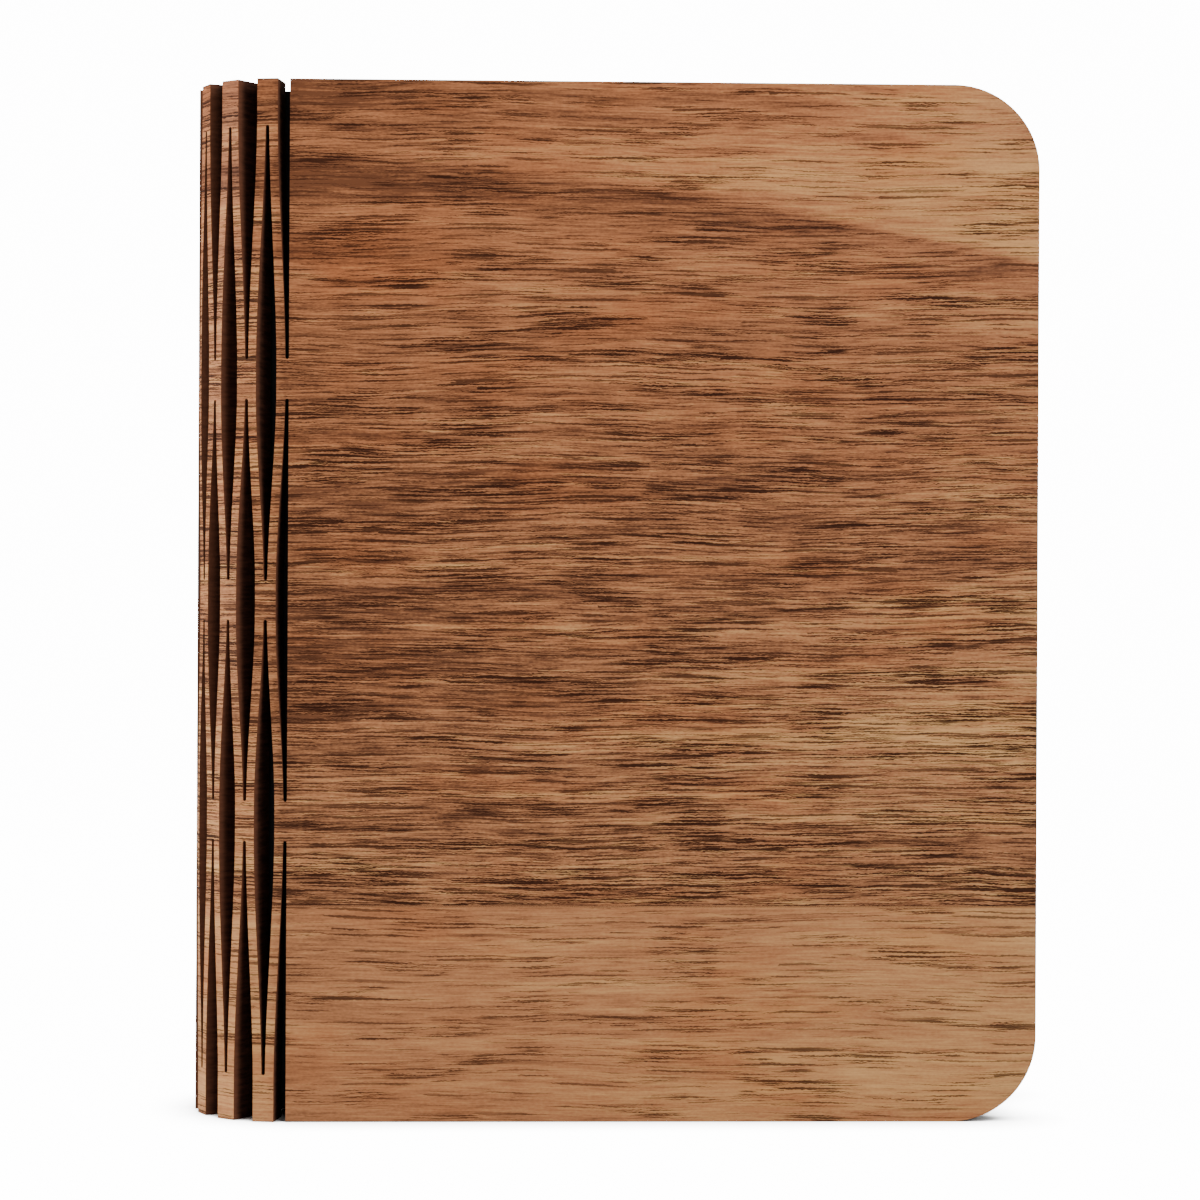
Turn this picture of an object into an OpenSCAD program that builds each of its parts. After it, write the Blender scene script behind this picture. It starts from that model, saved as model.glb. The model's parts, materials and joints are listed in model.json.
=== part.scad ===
// Folding book lamp, closed and standing on its lower edge.
// +Z is up the spine, +X runs from the spine to the fore edge, and the front cover faces -Y.
// The origin is in the middle of the rectangle that the closed book covers on the table.

/* [Book] */
// Height of the covers and the spine
book_h = 145; // [130:1:220]
// Thickness of the closed book, which is also the outer width of the curved spine
book_t = 25; // [25:0.5:32]
// Width of a cover's flat board, without the spine
cover_w = 104.7; // [80:0.1:160]
// Thickness of the veneered board
board_t = 4.5; // [3.5:0.1:4.7]
// Radius of the covers' corners at the fore edge
corner_r = 12; // [5:0.5:20]

/* [Lattice hinge] */
// Number of slats round the spine
n_slats = 7; // [5:2:7]
// Bend between a cover and its first slat when the book is closed, in degrees
first_bend = 9.3; // [8:0.1:12]
// Width of one thin strip; two strips and the cut between them make a slat
strip_w = 1.22; // [1:0.01:1.3]
// Width of the laser cut
kerf = 0.5; // [0.3:0.05:0.6]
// Height of the joined part at each end of a slat
end_bridge = 6.5; // [4:0.1:10]
// Height of the joined part at the middle of a slat
mid_bridge = 5.5; // [4:0.1:10]
// Height of a link, the joined part between two slats
link_h = 5.5; // [4:0.1:10]
// Height of a link's middle above the nearer end of the spine
link_z = 41.75; // [36:0.25:46]

/* [Paper shade] */
// Free gap between two closed folds of the paper
fold_gap = 0.3; // [0.3:0.05:0.5]
// Thickness of the end panel that is glued to a cover
liner_t = 0.2; // [0.1:0.05:0.4]
// Distance from the paper to the covers' top and bottom edges
paper_inset_z = 3; // [2.5:0.5:10]
// Distance from the paper to the covers' fore edge
paper_inset_x = 5; // [5:0.5:15]
// Gap between the diffuser and the inner end of the paper
paper_gap = 1; // [0.5:0.1:3]

/* [Light core] */
// Distance from each end of the core to the ends of the book
core_inset = 1; // [0.5:0.5:6]
// Gap between the core housing and the slats around it
core_gap = 0.65; // [0.4:0.05:0.9]
// Wall of the housing and of the diffuser
housing_wall = 0.85; // [0.7:0.05:0.95]
// Depth of the housing from the middle of the spine's curve to the diffuser's foot
channel_d = 6.6; // [6.6:0.1:9]
// How far the curved diffuser stands out from its foot
diffuser_rise = 3.4; // [2:0.1:5]
// Thickness of an end cap's plate
cap_t = 2; // [1.8:0.1:3]
// Length of the end cap's plug inside the housing
cap_plug = 3; // [2:0.1:4]

/* [Electrics] */
// Diameter of the battery cell
cell_d = 10; // [8:0.1:10]
// Length of the battery cell without its contact
cell_l = 44; // [36:1:60]
// Number of LEDs on the board
n_leds = 14; // [8:1:18]
// Gap between each end of the LED board and the end cap's plug
led_board_gap = 2.5; // [0.5:0.5:10]
// Thickness of the LED board
led_board_t = 1; // [0.8:0.1:1]
// Length of the charging board
charge_board_l = 21; // [20.5:0.5:22]
// Thickness of the charging board
charge_board_t = 1; // [0.8:0.1:1.2]
// Diameter of a wire
wire_d = 0.8; // [0.6:0.05:0.9]

/* [Magnets] */
// Diameter of a closing magnet
magnet_d = 8; // [5:0.5:10]
// Thickness of a magnet
magnet_t = 1.5; // [1:0.1:1.5]
// Distance of a closing magnet from the fore edge and from the nearer end of the cover
magnet_inset = 14; // [12:0.5:24]
// Diameter of the magnet that works the switch
switch_magnet_d = 6; // [4:0.5:8]

/* [Hidden] */
// Roundness of circles
$fn = 64;
// Steps along one half of a twisted strip
twist_steps = 5;
// Small running clearance round parts that slot together
slot_clearance = 0.15;
// Share of its twist that a strip carries along its two halves; their joint takes the rest
twist_share = 0.5;
// A strip lies this far inside the faces of the board that it grows out of
strip_skin = 0.02;
// Taken off both faces of a strip at its middle, so that neighbours clear when opened fully
strip_waist = 0.3;
// How far a strip is rooted in the solid board it grows from
strip_root = 0.5;

// Spine: the middle of the board follows a half circle of this radius
spine_r = book_t / 2 - board_t / 2;
inner_r = book_t / 2 - board_t;
slat_w = 2 * strip_w + kerf;
strip_off = (strip_w + kerf) / 2;
last_body = 2 * n_slats;
step_bend = (180 - 2 * first_bend) / (last_body - 2);
// The covers' flat boards start this far from the centre of the spine's curve
cover_x = strip_w / 2 + kerf;
fore_x = cover_x + cover_w;
// Places the centre of the spine's curve so that the closed book is centred on the origin
spine_x = (book_t / 2 - fore_x) / 2;

// Paper
n_folds = last_body - 1;
paper_room = 2 * (inner_r - liner_t);
fold_pitch = paper_room / (n_folds + 1);
fold_t = fold_pitch - fold_gap;
paper_x = channel_d + diffuser_rise + paper_gap;
paper_end = fore_x - paper_inset_x;
paper_h = book_h - 2 * paper_inset_z;

// Core housing
housing_r = inner_r - core_gap;
bore_r = housing_r - housing_wall;
core_z0 = core_inset;
housing_z0 = core_z0 + cap_t;
housing_h = book_h - 2 * housing_z0;
pad_w = 2.4;
pad_trim = 0.4;
ledge_w = 1;
ledge_t = 0.8;
boss_r = 1.6;
boss_h = 7;
boss_x = 3.1;
boss_y = bore_r - 1.4;

// LED board, seated on the housing's ledges and held down by the diffuser
led_board_x = channel_d - 0.5 - led_board_t;
led_board_z0 = housing_z0 + cap_plug + led_board_gap;
led_board_l = book_h - 2 * led_board_z0;
led_board_w = 2 * bore_r - 2 * slot_clearance;
led_w = 2.8;
led_l = 3.5;
led_t = 0.7;
led_pitch = (led_board_l - 8) / n_leds;

// Battery, in its cradle against the back of the bore
cradle_wall = 0.5;
cell_gap = 0.05;
cell_x = -(bore_r - cell_d / 2 - cell_gap - cradle_wall - cell_gap);
cradle_z0 = book_h / 2 - cell_l / 2 - 12;
cradle_end = 1;
contact_r = 2.75;
contact_h = 1;
cell_z0 = cradle_z0 + cradle_end + cell_gap;

// Charging board and its socket
charge_x = -2.6;
charge_z0 = housing_z0 + cap_plug + 1;
charge_w = 2 * sqrt(bore_r * bore_r - charge_x * charge_x) - 2 * slot_clearance;
guide_t = 0.9;
guide_w = 0.8;
socket_w = 8.9;
socket_t = 3.2;
socket_l = 7.3;
socket_wall = 0.35;
socket_z0 = core_z0 + 0.4;
socket_x = charge_x + charge_board_t + socket_t / 2;
tongue_t = 0.7;
light_pipe_r = 0.8;
light_pipe_x = charge_x - light_pipe_r;
// Parts on the charging board, placed down from its upper end
chip_drop = 12;
chip_gap = 1.2;
chip = [1, 4, 4];
coil = [2, 4, 4];
small_drop = 6;
small_part = [0.6, 0.8, 1.6];
small_pitch = 1.8;
sensor_drop = 5.5;
sensor = [1.2, 1.6, 3];
sensor_edge = 0.4;

// Wires: where they are soldered, and how they turn round what lies between
board_face = charge_x + charge_board_t;
charge_top = charge_z0 + charge_board_l;
lead_drop = 2;
lead_over_cell = 3;
lead_under_cradle = 1.5;
lead_bow = [1.5, 2.5];
cell_joint_x = 2;
lower_joint_x = 4;
lower_joint_y = 1;
led_lead_drop = 1.5;
led_lead_pitch = 3;
led_lead_bow = 2.4;
led_lead_reach = 1.6;
led_joint_rise = 15;
led_joint_z = led_board_z0 + led_joint_rise;
wire_run_x = cell_x + cell_d / 2 - 2 * wire_d;
wire_run_y = bore_r - ledge_w - wire_d / 2;

// Screws
screw_r = 0.65;
screw_head_r = 1.3;
screw_head_t = 0.9;
screw_l = 8;
screw_sink = 1.1;

// Magnets
pocket_gap = 0.05;
switch_inset = 4;
switch_x = paper_x + switch_inset;
// level with the middle of the sensor
switch_z = charge_top - sensor_drop + sensor[2] / 2;

// ---- Spine geometry -----------------------------------------------------------------
// The spine is a chain of bodies: 0 is the front cover, odd ones are slats, even ones are
// links, and last_body is the back cover. Strip k joins body k to body k + 1.

// Direction in which a body faces, in degrees round the spine from the front cover
function body_angle(b) =
    b == 0 ? 0 : b == last_body ? 180 : first_bend + step_bend * (b - 1);

// A point of the spine's cross-section, from across (x) and inward (y) at an angle
function at_angle(a, p) =
    [p[0] * cos(a) + (p[1] - spine_r) * sin(a), -p[0] * sin(a) + (p[1] - spine_r) * cos(a)];

// Turns a vector of the cross-section into a body's own direction, and back
function turned(a, v) = [v[0] * cos(a) + v[1] * sin(a), -v[0] * sin(a) + v[1] * cos(a)];
function unturned(a, v) = turned(-a, v);

// Centre of strip k where it meets body k (end 0) or body k + 1 (end 1)
function is_cover(b) = b == 0 || b == last_body;
function strip_end(k, end) =
    at_angle(body_angle(k + end), [is_cover(k + end) ? 0 : (2 * end - 1) * strip_off, 0]);
function hinge_point(k) = (strip_end(k, 0) + strip_end(k, 1)) / 2;

function ease(u) = u * u * (3 - 2 * u);
function drift(u) = (u + ease(u)) / 2;

// Centre and direction of strip k at a share u of the way from body k to body k + 1
function strip_angle(k, end, u) =
    let (bend = body_angle(k + 1) - body_angle(k))
    end == 0 ? body_angle(k) + bend * twist_share * ease(u)
             : body_angle(k + 1) - bend * twist_share * (1 - ease(u));
function strip_arm(k, end) =
    unturned(body_angle(k + end), strip_end(k, end) - hinge_point(k));
function strip_centre(k, end, u) =
    hinge_point(k)
    + turned(strip_angle(k, end, u), strip_arm(k, 0) + (strip_arm(k, 1) - strip_arm(k, 0)) * drift(u));

// The four corners of strip k at height z, where u says how far it has turned
function strip_ring(k, end, u, z) =
    [for (c = [[-1, -1], [1, -1], [1, 1], [-1, 1]])
        let (p = strip_centre(k, end, u)
            + turned(strip_angle(k, end, u), [c[0] * (strip_w / 2 - strip_skin),
                c[1] * (board_t / 2 - strip_skin - strip_waist * 2 * min(u, 1 - u))]))
        [spine_x + p[0], p[1], z]];

// Heights at which a strip leaves its slat and reaches its link, for the four free lengths
function free_lengths() =
    let (low = [[end_bridge, link_z - link_h / 2],
                [(book_h - mid_bridge) / 2, link_z + link_h / 2]])
    concat(low, [for (s = low) [book_h - s[0], book_h - s[1]]]);

// One side of a ring stack, as triangles that face outwards
function ring_sides(n) =
    [for (i = [0 : n - 2], j = [0 : 3], t = [0, 1])
        let (a = 4 * i + j, b = 4 * i + (j + 1) % 4)
        t == 0 ? [a, a + 4, b + 4] : [a, b + 4, b]];

// Half of one free length of strip k, from the body it grows out of to the strip's middle.
// end is 0 when it grows out of body k and 1 when it grows out of body k + 1
module half_strip(k, end, z_root, z_far) {
    z_mid = (z_root + z_far) / 2;
    up = z_mid > z_root ? 1 : -1;
    rings = concat(
        [strip_ring(k, end, end, z_root - up * strip_root)],
        [for (i = [0 : twist_steps])
            let (v = i / twist_steps / 2)
            strip_ring(k, end, end == 0 ? v : 1 - v, z_root + (z_mid - z_root) * 2 * v)]);
    n = len(rings);
    ordered = up > 0 ? rings : [for (i = [n - 1 : -1 : 0]) rings[i]];
    points = [for (r = ordered) each r];
    polyhedron(points,
        concat(ring_sides(n), [[0, 1, 2, 3], [4 * n - 1, 4 * n - 2, 4 * n - 3, 4 * n - 4]]));
}

// All half strips of strip k that grow out of a slat, or out of a link or a cover
module slat_half_strips(k, end) {
    for (s = free_lengths()) half_strip(k, end, s[0], s[1]);
}
module link_half_strips(k, end) {
    for (s = free_lengths()) half_strip(k, end, s[1], s[0]);
}

// Places a block in a body's own direction: x across the slat, y inwards, z up
module on_spine(b) {
    translate([spine_x, 0, 0]) rotate([0, 0, -body_angle(b)])
        translate([0, -spine_r, 0]) children();
}

// A plain block of board between two heights
module board_block(w, z0, z1) {
    translate([-w / 2, -board_t / 2, z0]) cube([w, board_t, z1 - z0]);
}

module spine_slat(i) {
    b = 2 * i - 1;
    color("#8a5238") {
        on_spine(b) {
            board_block(slat_w, 0, end_bridge);
            board_block(slat_w, (book_h - mid_bridge) / 2, (book_h + mid_bridge) / 2);
            board_block(slat_w, book_h - end_bridge, book_h);
        }
        slat_half_strips(b - 1, 1);
        slat_half_strips(b, 0);
    }
}

module spine_link(i) {
    b = 2 * i;
    color("#6b3d2a") {
        on_spine(b) for (z = [link_z, book_h - link_z])
            board_block(slat_w, z - link_h / 2, z + link_h / 2);
        link_half_strips(b - 1, 1);
        link_half_strips(b, 0);
    }
}

// ---- Covers -------------------------------------------------------------------------
// Outline of a cover's board in its own plane, from the spine's centre line
module cover_outline() {
    translate([cover_x, 0]) {
        square([cover_w - corner_r, book_h]);
        translate([0, corner_r]) square([cover_w, book_h - 2 * corner_r]);
        for (z = [corner_r, book_h - corner_r]) translate([cover_w - corner_r, z])
            circle(corner_r);
    }
    for (z = [link_z, book_h - link_z])
        translate([-strip_w / 2, z - link_h / 2]) square([strip_w + kerf + 1, link_h]);
}

// Stands a flat outline up, with its outer face t from the middle of the book
module stand_up(outer, thick) {
    translate([spine_x, -outer + thick, 0]) rotate([90, 0, 0]) linear_extrude(thick)
        children();
}

// Disc places on a cover: fore-edge corners
magnet_places = [for (z = [magnet_inset, book_h - magnet_inset]) [fore_x - magnet_inset, z]];

// Blind pockets or the discs in them, sunk from the cover's inner face
module discs(places, d, thick) {
    for (p = places) translate([spine_x + p[0], -inner_r, p[1]])
        rotate([90, 0, 0]) cylinder(d = d, h = thick);
}

module cover_board() {
    difference() {
        stand_up(book_t / 2, board_t) cover_outline();
        discs(magnet_places, magnet_d + 2 * pocket_gap, magnet_t);
        children();
    }
}

module front_cover() {
    color("#a8704f") {
        cover_board() discs([[switch_x, switch_z]], switch_magnet_d + 2 * pocket_gap, magnet_t);
        link_half_strips(0, 0);
    }
}

module back_cover() {
    color("#a8704f") {
        mirror([0, 1, 0]) cover_board();
        link_half_strips(last_body - 1, 1);
    }
}

module liner() {
    color("#f4f1ea")
        translate([spine_x + paper_x, -inner_r, paper_inset_z])
            cube([paper_end - paper_x, liner_t, paper_h]);
}
module front_liner() { liner(); }
module back_liner() { mirror([0, 1, 0]) liner(); }

module closing_magnets() { color("#c4c7cc") discs(magnet_places, magnet_d, magnet_t); }
module front_magnets() { closing_magnets(); }
module back_magnets() { mirror([0, 1, 0]) closing_magnets(); }
module switch_magnet() {
    color("#c4c7cc") discs([[switch_x, switch_z]], switch_magnet_d, magnet_t);
}

// ---- Paper shade --------------------------------------------------------------------
// One fold: two sheets that meet in a rounded crease at the fore edge
module paper_fold(i) {
    y = (i - (n_folds + 1) / 2) * fold_pitch;
    color("#fbfaf5") translate([spine_x, y, paper_inset_z]) linear_extrude(paper_h) {
        translate([paper_x, -fold_t / 2])
            square([paper_end - paper_x - fold_t / 2, fold_t]);
        translate([paper_end - fold_t / 2, 0]) circle(fold_t / 2);
    }
}

// ---- Light core ---------------------------------------------------------------------
// Outline of the D-shaped housing, grown or shrunk by d
module d_outline(d) {
    intersection() {
        circle(housing_r + d);
        translate([-2 * housing_r, -housing_r - d])
            square([2 * housing_r, 2 * housing_r + 2 * d]);
    }
    translate([-0.01, -housing_r - d]) square([channel_d + 0.01, 2 * housing_r + 2 * d]);
}

// Radius of the diffuser's curved front, from its foot's width and its rise
dome_r = (housing_r * housing_r + diffuser_rise * diffuser_rise) / (2 * diffuser_rise);
module dome_outline(d) {
    intersection() {
        translate([channel_d + diffuser_rise - dome_r, 0]) circle(dome_r + d);
        translate([channel_d, -housing_r - d]) square([2 * diffuser_rise, 2 * housing_r + 2 * d]);
    }
}

// Everything inside the core stands on the spine's centre line
module in_core(z) { translate([spine_x, 0, z]) children(); }

module screw_places() {
    for (y = [-boss_y, boss_y]) translate([boss_x, y, 0]) children();
}

module core_housing() {
    color("#232325") difference() {
        union() {
            in_core(housing_z0) linear_extrude(housing_h) difference() {
                d_outline(0);
                d_outline(-housing_wall);
                translate([channel_d - 0.5, -bore_r]) square([1, 2 * bore_r]);
            }
            // ledges for the LED board
            for (s = [-1, 1]) in_core(housing_z0)
                translate([led_board_x - ledge_t, s > 0 ? bore_r - ledge_w : -bore_r - 0.1, 0])
                    cube([ledge_t, ledge_w + 0.1, housing_h]);
            // guides behind the charging board
            for (s = [-1, 1]) in_core(charge_z0)
                translate([charge_x - guide_t,
                    s > 0 ? charge_w / 2 - guide_w : -charge_w / 2 - 0.5, 0])
                    cube([guide_t, guide_w + 0.5, charge_board_l]);
            // screw bosses at both ends
            in_core(housing_z0 + cap_plug + slot_clearance) screw_places()
                cylinder(r = boss_r, h = boss_h);
            in_core(book_h - housing_z0 - cap_plug - slot_clearance - boss_h) screw_places()
                cylinder(r = boss_r, h = boss_h);
            // pads glued to the middle slat
            for (z = [[housing_z0, end_bridge - pad_trim],
                      [(book_h - mid_bridge) / 2 + pad_trim, (book_h + mid_bridge) / 2 - pad_trim],
                      [book_h - end_bridge + pad_trim, book_h - housing_z0]])
                in_core(z[0]) translate([-inner_r, -pad_w / 2, 0])
                    cube([core_gap + housing_wall / 2, pad_w, z[1] - z[0]]);
        }
        // pilot holes
        for (z = [housing_z0, book_h - housing_z0 - boss_h - cap_plug - 1]) in_core(z)
            screw_places() cylinder(r = screw_r, h = boss_h + cap_plug + 1);
    }
}

module diffuser() {
    foot = slot_clearance + 0.8;
    color("#f6f7f8") in_core(housing_z0) linear_extrude(housing_h) {
        difference() {
            dome_outline(0);
            dome_outline(-housing_wall);
        }
        // lips that hold the LED board down inside the housing's walls
        for (s = [-1, 1])
            translate([channel_d - 0.5, s > 0 ? bore_r - foot : -bore_r + slot_clearance])
                square([0.5 + housing_wall / 2, 0.8]);
    }
}

module led_board() {
    color("#f2f2ee") in_core(led_board_z0)
        translate([led_board_x, -led_board_w / 2, 0])
            cube([led_board_t, led_board_w, led_board_l]);
}

module leds() {
    color("#f3e27a") for (i = [0 : n_leds - 1])
        in_core(book_h / 2 + (i - (n_leds - 1) / 2) * led_pitch)
            translate([led_board_x + led_board_t, -led_w / 2, -led_l / 2])
                cube([led_t, led_w, led_l]);
}

module battery_cell() {
    color("#3f7fb8") in_core(cell_z0) translate([cell_x, 0, 0]) {
        cylinder(d = cell_d, h = cell_l);
        cylinder(r = contact_r, h = cell_l + contact_h);
    }
}

module battery_cradle() {
    total = cell_l + contact_h + 2 * cradle_end + 2 * cell_gap;
    color("#2b2b2d") in_core(cradle_z0) translate([cell_x, 0, 0]) difference() {
        intersection() {
            cylinder(d = cell_d + 2 * (cell_gap + cradle_wall), h = total);
            translate([-cell_d, -cell_d, 0]) cube([cell_d, 2 * cell_d, total]);
        }
        translate([0, 0, cradle_end])
            cylinder(d = cell_d + 2 * cell_gap, h = total - 2 * cradle_end);
    }
}

// A wire laid through a few points, as an eight-sided tube with mitred corners
function unit(v) = v / norm(v);
function bend_direction(points, i) =
    let (last = len(points) - 1,
         before = unit(points[max(i, 1)] - points[max(i, 1) - 1]),
         after = unit(points[min(i, last - 1) + 1] - points[min(i, last - 1)]))
    unit(before + after);
// One side direction of the wire, carried from bend to bend without twisting it
function side_direction(points, i) =
    let (b = bend_direction(points, i))
    i == 0 ? unit(cross(b, [0.2, 1, 0.35])) :
    let (a = bend_direction(points, i - 1), u = side_direction(points, i - 1))
    u - (u * b) / (1 + a * b) * (a + b);
module wire(points) {
    sides = 8;
    n = len(points);
    rings = [for (i = [0 : n - 1])
        let (u = side_direction(points, i), v = cross(bend_direction(points, i), u))
        for (j = [0 : sides - 1])
            points[i] + wire_d / 2 * (u * cos(360 * j / sides) + v * sin(360 * j / sides))];
    walls = [for (i = [0 : n - 2], j = [0 : sides - 1], t = [0, 1])
        let (a = sides * i + j, b = sides * i + (j + 1) % sides)
        t == 0 ? [a, a + sides, b + sides] : [a, b + sides, b]];
    ends = [[for (j = [0 : sides - 1]) j], [for (j = [0 : sides - 1]) sides * n - 1 - j]];
    polyhedron(rings, concat(walls, ends));
}

module battery_leads() {
    cell_top = cell_z0 + cell_l + contact_h;
    lead_z = charge_top - lead_drop;
    below = cradle_z0 - lead_under_cradle;
    above = cell_top + lead_over_cell;
    color("#b3332c") in_core(0) wire([
        [board_face, wire_run_y, lead_z],
        [wire_run_x, wire_run_y, lead_z],
        [wire_run_x, wire_run_y, above],
        [cell_x + cell_joint_x, 0, above],
        [cell_x + cell_joint_x, 0, cell_top]]);
    color("#26262a") in_core(0) wire([
        [board_face, -wire_run_y, lead_z],
        [board_face + lead_bow[0], -wire_run_y, lead_z],
        [board_face + lead_bow[1], -wire_run_y, below],
        [cell_x + lower_joint_x, -lower_joint_y, below],
        [cell_x + lower_joint_x, -lower_joint_y, cell_z0]]);
}

module led_leads() {
    lead_z = charge_top - led_lead_drop;
    color("#d8d8d4") for (y = [-led_lead_pitch / 2, led_lead_pitch / 2]) in_core(0) wire([
        [board_face, y, lead_z],
        [board_face + led_lead_bow, y, lead_z],
        [led_board_x - led_lead_reach, y, led_joint_z],
        [led_board_x, y, led_joint_z]]);
}

module charging_board() {
    color("#1f6b45") in_core(charge_z0) translate([charge_x, -charge_w / 2, 0])
        cube([charge_board_t, charge_w, charge_board_l]);
}

module board_components() {
    color("#2a2c30") in_core(charge_top) {
        translate([board_face, -chip[1] - chip_gap / 2, -chip_drop]) cube(chip);
        translate([board_face, chip_gap / 2, -chip_drop]) cube(coil);
        for (i = [-1.5 : 1.5])
            translate([board_face, i * small_pitch - small_part[1] / 2, -small_drop])
                cube(small_part);
    }
}

module rounded_slot(w, t, r) {
    for (s = [-1, 1]) translate([0, s * (w / 2 - t / 2)]) circle(t / 2);
    square([t, w - t], center = true);
}

module usb_socket() {
    color("#b9bcc2") in_core(socket_z0) translate([socket_x, 0, 0]) {
        difference() {
            linear_extrude(socket_l) rounded_slot(socket_w, socket_t);
            translate([0, 0, -1]) linear_extrude(socket_l)
                rounded_slot(socket_w - 2 * socket_wall, socket_t - 2 * socket_wall);
        }
        translate([-tongue_t / 2, -socket_w / 2 + 1.2, 1])
            cube([tongue_t, socket_w - 2.4, socket_l - 1.5]);
    }
}

module light_pipe() {
    color("#dfe9ef") in_core(core_z0) translate([light_pipe_x, 0, 0])
        cylinder(r = light_pipe_r, h = charge_z0 + 3 - core_z0);
}

module magnet_sensor() {
    color("#2a2c30") in_core(charge_top - sensor_drop)
        translate([board_face, -charge_w / 2 + sensor_edge, 0]) cube(sensor);
}

// End cap: a plate with the core's whole outline and a plug that enters the housing.
// It is drawn at the lower end; a plain cap has no openings for the socket and the light
module end_cap(plain) {
    difference() {
        union() {
            in_core(core_z0) linear_extrude(cap_t) {
                d_outline(0);
                dome_outline(0);
            }
            in_core(core_z0 + cap_t) linear_extrude(cap_plug) intersection() {
                d_outline(-housing_wall - slot_clearance);
                translate([-housing_r, -housing_r])
                    square([housing_r + led_board_x - ledge_t - slot_clearance, 2 * housing_r]);
            }
        }
        in_core(core_z0 - 1) screw_places() {
            cylinder(r = screw_r + 0.2, h = cap_t + cap_plug + 2);
            cylinder(r = screw_head_r + slot_clearance, h = 1 + screw_sink);
        }
        if (!plain) {
            in_core(core_z0 - 1) translate([socket_x, 0, 0])
                linear_extrude(cap_t + cap_plug + 2)
                    rounded_slot(socket_w + 2 * slot_clearance, socket_t + 2 * slot_clearance);
            in_core(core_z0 - 1) translate([light_pipe_x, 0, 0])
                cylinder(r = light_pipe_r + slot_clearance, h = cap_t + cap_plug + 2);
        }
    }
}

module upside_down() { translate([0, 0, book_h]) mirror([0, 0, 1]) children(); }

module bottom_cap() { color("#232325") end_cap(false); }
module top_cap() { color("#232325") upside_down() end_cap(true); }

module screws() {
    in_core(core_z0 + screw_sink) screw_places() {
        cylinder(r = screw_r - 0.03, h = screw_l);
        translate([0, 0, -screw_head_t]) difference() {
            cylinder(r = screw_head_r, h = screw_head_t);
            for (a = [0, 90]) rotate([0, 0, a])
                translate([-screw_head_r * 0.6, -0.2, -0.01])
                    cube([screw_head_r * 1.2, 0.4, screw_head_t / 2]);
        }
    }
}
module cap_screws() {
    color("#8f9298") {
        screws();
        upside_down() screws();
    }
}

// ---- Assembly -----------------------------------------------------------------------
front_cover();
front_liner();
front_magnets();
switch_magnet();
back_cover();
back_liner();
back_magnets();
for (i = [1 : n_slats])
    spine_slat(i);
for (i = [1 : n_slats - 1])
    spine_link(i);
for (i = [1 : n_folds])
    paper_fold(i);
core_housing();
diffuser();
led_board();
leds();
battery_cell();
battery_cradle();
battery_leads();
led_leads();
charging_board();
board_components();
usb_socket();
light_pipe();
magnet_sensor();
bottom_cap();
top_cap();
cap_screws();
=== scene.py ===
"""Folding book lamp: detailed pieces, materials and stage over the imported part."""

import json
import math

import bmesh
import bpy
from bpy.props import FloatProperty, FloatVectorProperty, IntProperty, PointerProperty
from mathutils import Matrix, Vector


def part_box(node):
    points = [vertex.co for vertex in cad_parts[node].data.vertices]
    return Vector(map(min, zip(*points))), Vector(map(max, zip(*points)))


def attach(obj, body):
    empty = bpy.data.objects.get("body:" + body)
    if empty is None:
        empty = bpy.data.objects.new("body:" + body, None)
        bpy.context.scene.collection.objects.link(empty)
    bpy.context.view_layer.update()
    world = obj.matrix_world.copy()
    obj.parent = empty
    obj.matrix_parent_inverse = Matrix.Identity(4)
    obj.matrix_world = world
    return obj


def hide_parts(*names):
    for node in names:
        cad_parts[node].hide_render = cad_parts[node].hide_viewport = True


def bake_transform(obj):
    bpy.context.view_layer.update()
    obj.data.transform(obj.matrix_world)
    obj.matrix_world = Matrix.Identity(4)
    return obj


bl_info = {
    "name": "Folding book lamp",
    "version": (1, 0, 0),
    "blender": (4, 5, 0),
    "location": "View3D > Sidebar > Book lamp",
    "description": "Builds the lattice hinge, covers, pleated shade, materials and stage",
    "category": "Object",
}

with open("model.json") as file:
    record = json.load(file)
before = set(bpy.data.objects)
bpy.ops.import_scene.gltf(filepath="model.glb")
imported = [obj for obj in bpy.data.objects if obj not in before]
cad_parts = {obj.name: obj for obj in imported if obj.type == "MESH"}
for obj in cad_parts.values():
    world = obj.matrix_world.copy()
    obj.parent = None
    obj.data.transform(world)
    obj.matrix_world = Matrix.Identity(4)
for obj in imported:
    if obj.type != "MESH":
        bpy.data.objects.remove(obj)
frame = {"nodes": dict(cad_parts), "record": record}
MM = 0.001
TINY = 0.01 * MM  # what lies closer together than this is at the same place
N_SLATS = sum(name.startswith("spine_slat_") for name in frame["nodes"])
LAST = 2 * N_SLATS  # number of the last body, where the front cover is number 0
# The bodies in their order round the spine: cover, slat, link, slat, ... slat, cover. The middle
# slat is on the core's body.
SPINE_BODIES = ["front_cover"] + [
    f"slat_{(b + 1) // 2}" if b % 2 else f"link_{b // 2}" for b in range(1, LAST)
] + ["back_cover"]
SPINE_BODIES[N_SLATS] = "spine_core"


def corners(name):
    """Lowest and highest corner of a CAD node."""
    low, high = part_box(name)
    return Vector(low), Vector(high)


COVER_LOW, COVER_HIGH = corners("front_cover")
PAPER_LOW, PAPER_HIGH = corners("paper_fold_7")
LINER_LOW, LINER_HIGH = corners("front_liner")
HEIGHT = COVER_HIGH.z
THICKNESS = -2 * COVER_LOW.y
FORE = COVER_HIGH.x
BOARD = COVER_HIGH.y - COVER_LOW.y

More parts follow.
